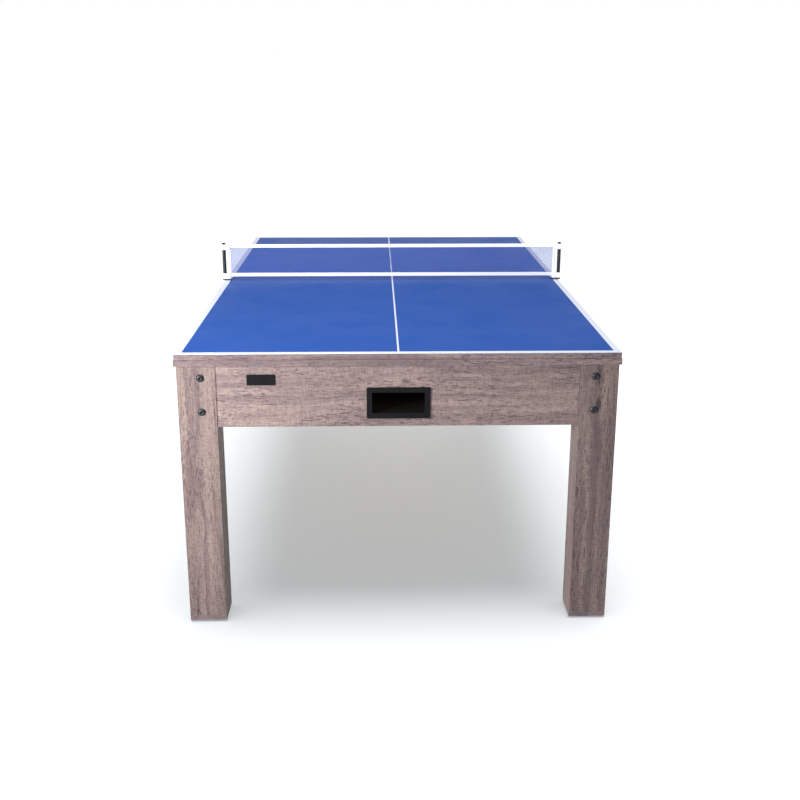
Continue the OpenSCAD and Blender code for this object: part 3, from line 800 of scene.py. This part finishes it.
def drop_skirts(material):
    """A soft funnel inside each pocket liner, which leads a ball into its trough. Its section is a list of
    radius, height above the liner's foot and share of the way across from the pocket to the trough."""
    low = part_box("corner_pocket_liners")[0].z
    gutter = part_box("right_ball_gutter")
    middle = (gutter[0].x + gutter[1].x) / 2
    around = 40
    outer = [(0.0568, 0.004, 0.0), (0.0568, 0.0, 0.0), (0.047, -0.010, 0.5), (0.0372, -0.021, 1.0)]
    inner = [(0.0360, -0.021, 1.0), (0.0455, -0.009, 0.5), (0.0553, 0.001, 0.0), (0.0556, 0.004, 0.0)]
    work = bmesh.new()
    for x, y in (CORNER_POCKET, SIDE_POCKET, (CORNER_POCKET[0], -CORNER_POCKET[1])):
        for side in (-1, 1):
            rings = []
            for radius, height, share in outer + inner + outer[:1]:
                ring = []
                for step in range(around):
                    angle = 2 * math.pi * step / around
                    across = x + (middle - x) * share + radius * math.cos(angle)
                    ring.append(Vector((side * across, y + side * radius * math.sin(angle), low + height)))
                rings.append(ring)
            loft(work, rings, capped=False)
    bmesh.ops.remove_doubles(work, verts=work.verts, dist=1e-5)
    bmesh.ops.recalc_face_normals(work, faces=work.faces)
    mesh = as_mesh("pocket_drop_skirts", work)
    add_piece("pocket_drop_skirts", mesh, "cabinet", "black_plastic", material)


def edge_strips(material):
    """Thin laminate strips under the rim of each half of the top, which close its gap to the rails."""
    low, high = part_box("far_top_panel")
    deep = 0.002
    setback = 0.0008
    from_net = 0.08
    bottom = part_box("rear_rail")[1].z + 0.0001
    top = low.z - 0.00005
    half_w = high.x - setback
    half_l = high.y - setback
    for end, name in ((-1, "near_top"), (1, "far_top")):
        work = bmesh.new()
        rings = []
        for x, at_end in ((-1, False), (-1, True), (1, True), (1, False)):
            outer = (x * half_w, end * (half_l if at_end else from_net))
            inner = (x * (half_w - deep), end * (half_l - deep if at_end else from_net))
            rings.append([Vector((*outer, bottom)), Vector((*inner, bottom)), Vector((*inner, top)),
                          Vector((*outer, top))])
        loft(work, rings)
        mesh = as_mesh(name + "_edge_strip", work, 30.0)
        add_piece(name + "_edge_strip", mesh, name, "oak_laminate", material)


def rail_sights(material):
    """Eighteen round sights on the rails, at eighths of the length and quarters of the width."""
    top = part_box("left_rail")[1].z
    nose_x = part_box("right_cushions")[0].x
    nose_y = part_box("rear_cushion")[0].y
    across = (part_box("right_cushions")[1].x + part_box("right_rail")[1].x) / 2
    beyond = (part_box("rear_cushion")[1].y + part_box("rear_rail")[1].y) / 2
    work = bmesh.new()
    for side in (-1, 1):
        for eighth in (-3, -2, -1, 1, 2, 3):
            disc(work, side * across, eighth * nose_y / 4, top, 0.005, 0.0004)
        for quarter in (-1, 0, 1):
            disc(work, quarter * nose_x / 2, side * beyond, top, 0.005, 0.0004)
    add_piece("rail_sights", as_mesh("rail_sights", work), "cabinet", "white_plastic", material)


def cloth_spots(material):
    """Spots on the cloth, a quarter of the way from each end."""
    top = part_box("bed_cloth")[1].z
    nose_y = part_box("rear_cushion")[0].y
    work = bmesh.new()
    for end in (-1, 1):
        disc(work, 0.0, end * nose_y / 2, top, 0.011, 0.0003)
    add_piece("cloth_spots", as_mesh("cloth_spots", work), "cabinet", "black_plastic", material)


# ---------------------------------------------------------------- fasteners and feet

def leg_bolts(material):
    """Button-head connector bolts with a hexagon socket, two on each outer leg face."""
    low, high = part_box("leg_bolts")
    head = 0.006
    radius = 0.0105
    shank = 0.004
    reach = 0.046
    inset = 0.068
    half_w = 0.605
    half_l = 1.075
    button = [(shank * 0.8, -reach), (shank, -reach + 0.001), (shank, 0.0), (radius - 0.0006, 0.0),
              (radius, 0.0006), (radius, 0.0018), (radius - 0.0006, 0.0026), (radius - 0.0019, 0.0042),
              (radius - 0.0036, 0.0055), (0.0052, head), (0.0043, head)]
    socket = [(hexagon(0.0062), head - 0.0006), (hexagon(0.0060), head - 0.0012), (hexagon(0.0060), 0.0022),
              (hexagon(0.0010), 0.0020)]
    work = bmesh.new()
    for side in (-1, 1):
        for end in (-1, 1):
            for z in (high.z - radius, low.z + radius):
                on_end = Vector((side * (half_w - inset), end * (high.y - head), z))
                on_side = Vector((side * (high.x - head), end * (half_l - inset), z))
                lathe(work, on_end, (0, end, 0), button + socket)
                lathe(work, on_side, (side, 0, 0), button + socket)
    add_piece("leg_bolts_detailed", as_mesh("leg_bolts_detailed", work, 28.0), "cabinet", "black_steel",
              material, "leg_bolts")


def threaded_studs(material):
    """Levelling studs with a hexagon head and a true thread."""
    radius = 0.004
    pitch = 0.00125
    deep = 0.00062
    around = 24
    rows_per_turn = 5
    upright = Matrix.Identity(3)
    for name in CORNERS:
        low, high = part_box(name + "_stud")
        centre = Vector(((low.x + high.x) / 2, (low.y + high.y) / 2, 0.0))
        flats = high.y - low.y
        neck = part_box(name + "_glide")[1].z
        rings = [round_ring(hexagon(flats), height, around, upright, centre) for height in (low.z, neck)]
        rings.append(round_ring(radius - deep, neck, around, upright, centre))
        rows = round((high.z - neck) / pitch * rows_per_turn)
        for row in range(1, rows + 1):
            height = neck + (high.z - neck) * row / rows
            taper = min(1.0, (rows - row) / rows_per_turn)

            def ridge(angle, height=height, taper=taper):
                phase = (height / pitch - angle / (2 * math.pi)) % 1.0
                return radius - deep + deep * taper * (1 - abs(2 * phase - 1))

            rings.append(round_ring(ridge, height, around, upright, centre))
        work = bmesh.new()
        loft(work, rings)
        add_piece(name + "_threaded_stud", as_mesh(name, work, 50.0), name + "_foot", "bare_steel",
                  material, name + "_stud")


# ---------------------------------------------------------------- finishes

def dress():
    """Gives every CAD node its material and breaks the edges that the eye meets."""
    across = oak("oak_across", "X", 1.0, rgb(0.280, 0.207, 0.188), rgb(0.175, 0.126, 0.122), ends="Y")
    along = oak("oak_along", "Y", 4.0, ends="X")
    edge = oak("oak_edge", "X", 7.0, rgb(0.235, 0.174, 0.170), rgb(0.145, 0.104, 0.106), ends="Y")
    upright = oak("oak_upright", "Z", 2.0)
    knot = (Vector((0.549, -1.071, 0.653)), 0.011)
    knotted = oak("oak_knotted", "Z", 5.0, knot=knot, split=(0.548, 0.700, 0.757))
    # Lighter oak for the legs' broken edges: a painted highlight along each edge.
    bevel = oak("oak_painted_edge_highlight", "Z", 3.0, rgb(0.30, 0.25, 0.26), rgb(0.20, 0.16, 0.165))
    paint(across, "front_apron", "rear_apron")
    paint(along, "left_apron", "right_apron", "left_rail", "right_rail")
    paint(edge, "near_top_panel", "far_top_panel", "front_rail", "rear_rail", "leg_caps")
    legs = [corner + "_leg" for corner in CORNERS]
    paint(upright, *legs)
    paint(knotted, "front_right_leg")
    paint(fibreboard("fibreboard"), "rail_blocks", "playfield_board", "bed_beams", "bed_ledgers",
          "corner_blocks")
    paint(blue_top("blue_top"), "near_top_surface", "far_top_surface")
    paint(white_paint("white_paint"), "near_top_lines", "far_top_lines")
    plastic = black_plastic("black_plastic")
    ball_ways = ("ball_tray", "front_ball_gutters", "left_ball_gutter", "right_ball_gutter",
                 "corner_pocket_liners", "side_pocket_liners")
    paint(plastic, *ball_ways, "ball_return_bezel", "nameplate", "left_post_cap", "right_post_cap")
    coat = powder_coat("powder_coat")
    paint(coat, "left_post_clip", "right_post_clip", "left_post", "right_post")
    plated = zinc("zinc_plate")
    paint(plated, "corner_brackets")
    # The rail brackets' zinc is darkened to 0.4 as painted shade of the gap between rail and apron that they
    # sit in.
    paint(zinc("zinc_painted_gap_shade", 0.40), "rail_brackets")
    white = white_plastic("white_plastic")
    paint(white, "net_brackets")
    paint(felt("black_felt"), "near_top_pads", "far_top_pads")
    paint(rubber("foot_rubber"), *(corner + "_glide" for corner in CORNERS))

    # The legs' broken edges take the lighter oak as a painted highlight.
    for name in legs:
        soften(NODES[name], 0.0028, 3, bevel)
    for name in ("front_apron", "rear_apron", "left_apron", "right_apron", "leg_caps"):
        soften(NODES[name], 0.0010, 2)
    for name in ("front_rail", "rear_rail", "left_rail", "right_rail", "near_top_panel", "far_top_panel"):
        soften(NODES[name], 0.0003, 2)
    for name in ("ball_return_bezel", "net_brackets"):
        soften(NODES[name], 0.0008, 3)
    for name in ("left_post_clip", "right_post_clip", "nameplate", "rail_brackets", "corner_brackets"):
        soften(NODES[name], 0.0004, 2)
    for name in ball_ways:
        soften(NODES[name], 0.0006, 2)
    return edge, plastic, coat, plated, white


# ---------------------------------------------------------------- studio

# DOME and TOP are the light that each adds to a white level surface in the open, GLOW is the light of the
# floor itself, and the other four are lamps in watts.
DOME = 0.25
TOP = 0.75
NEAR_END = 20.0
KEY = 85.0
BACK_CARD = 6.0
LOW_BACK = 26.0
GLOW = 0.30


def studio_floor(name):
    """Plain white studio floor that glows a little, as a lit cove does."""
    shader = Shader(name)
    cloud = shader.noise(shader.place, 0.7, 2.0, 0.5)
    color = shader.mix(cloud, rgb(0.85, 0.88, 0.91), rgb(0.87, 0.90, 0.93))
    shader.set(Base_Color=color, Roughness=0.9, Specular_IOR_Level=0.0,
               Emission_Color=rgb(0.94, 1.0, 1.05), Emission_Strength=GLOW)
    return shader.material


def white_world():
    """Soft dome light in front of a plain white backdrop."""
    world = bpy.data.worlds.new("studio")
    world.use_nodes = True
    nodes = world.node_tree.nodes
    nodes.clear()
    dome = nodes.new("ShaderNodeBackground")
    dome.inputs["Strength"].default_value = DOME
    backdrop = nodes.new("ShaderNodeBackground")
    backdrop.inputs["Strength"].default_value = 1.0
    seen = nodes.new("ShaderNodeLightPath")
    either = nodes.new("ShaderNodeMixShader")
    output = nodes.new("ShaderNodeOutputWorld")
    for shade in (dome, backdrop):
        shade.inputs["Color"].default_value = rgb(1, 1, 1)
    link = world.node_tree.links.new
    link(seen.outputs["Is Camera Ray"], either.inputs[0])
    link(dome.outputs[0], either.inputs[1])
    link(backdrop.outputs[0], either.inputs[2])
    link(either.outputs[0], output.inputs["Surface"])
    bpy.context.scene.world = world


def lamp(name, kind, strength, place, target, unlit=None, **settings):
    """A light the camera can't see; the objects in unlit are shielded from it."""
    light = bpy.data.lights.new(name, kind)
    light.energy = strength
    for key, value in settings.items():
        setattr(light, key, value)
    made = bpy.data.objects.new(name, light)
    made.location = Vector(place)
    made.visible_camera = False
    made.rotation_euler = (Vector(target) - made.location).to_track_quat("-Z", "Y").to_euler()
    bpy.context.scene.collection.objects.link(made)
    if unlit is not None:
        made.light_linking.receiver_collection = unlit


def studio():
    """White floor and backdrop, a very soft light overhead and a large soft key light at the front left."""
    work = bmesh.new()
    half = 30.0
    corners = ((-half, -half), (half, -half), (half, half), (-half, half))
    work.faces.new([work.verts.new((x, y, 0.0)) for x, y in corners])
    floor = bpy.data.objects.new("floor", as_mesh("floor", work))
    floor.data.materials.append(studio_floor("studio_floor"))
    bpy.context.scene.collection.objects.link(floor)
    white_world()
    shield = bpy.data.collections.new("floor_shield")
    shield.objects.link(floor)
    shield.collection_objects[0].light_linking.link_state = "EXCLUDE"
    lamp("overhead", "SUN", TOP * math.pi, (0.0, 0.0, 5.0), (0.0, 0.0, 0.0), angle=math.radians(45))
    lamp("near_end", "AREA", NEAR_END, (-0.3, -1.0, 2.7), (-0.3, -0.8, 0.8), shield, shape="DISK", size=1.2)
    lamp("key", "AREA", KEY, (-1.5, -2.25, 1.15), (-0.3, -1.0, 0.45), shield, shape="DISK", size=0.9)
    lamp("back_card", "AREA", BACK_CARD, (0.0, 2.8, 1.3), (0.0, 0.9, 0.8),
         shape="RECTANGLE", size=3.2, size_y=0.8)
    lamp("low_back", "AREA", LOW_BACK, (0.0, 2.9, 0.45), (0.0, 0.4, 0.0),
         shape="RECTANGLE", size=3.0, size_y=0.5)
    bpy.context.scene.view_settings.view_transform = "Standard"


# ---------------------------------------------------------------- making

make_camera()
laminate, plastic, coat, plated, white = dress()
tape_cloth = woven("white_tape", rgb(0.92, 0.92, 0.95), rgb(0.80, 0.80, 0.85), 1300.0, 0.15, 0.2)
net_cords(net_cord("blue_net_cord"))
net_tapes(tape_cloth, white_plastic("sewing_thread"))
net_sleeves(tape_cloth)
bed_cloth(billiard_cloth("bed_cloth"))
cushions(billiard_cloth("cushion_cloth"))
edge_strips(laminate)
drop_skirts(rubber("drop_skirt_rubber"))
rail_sights(white)
cloth_spots(plastic)
leg_bolts(coat)
threaded_studs(plated)
studio()
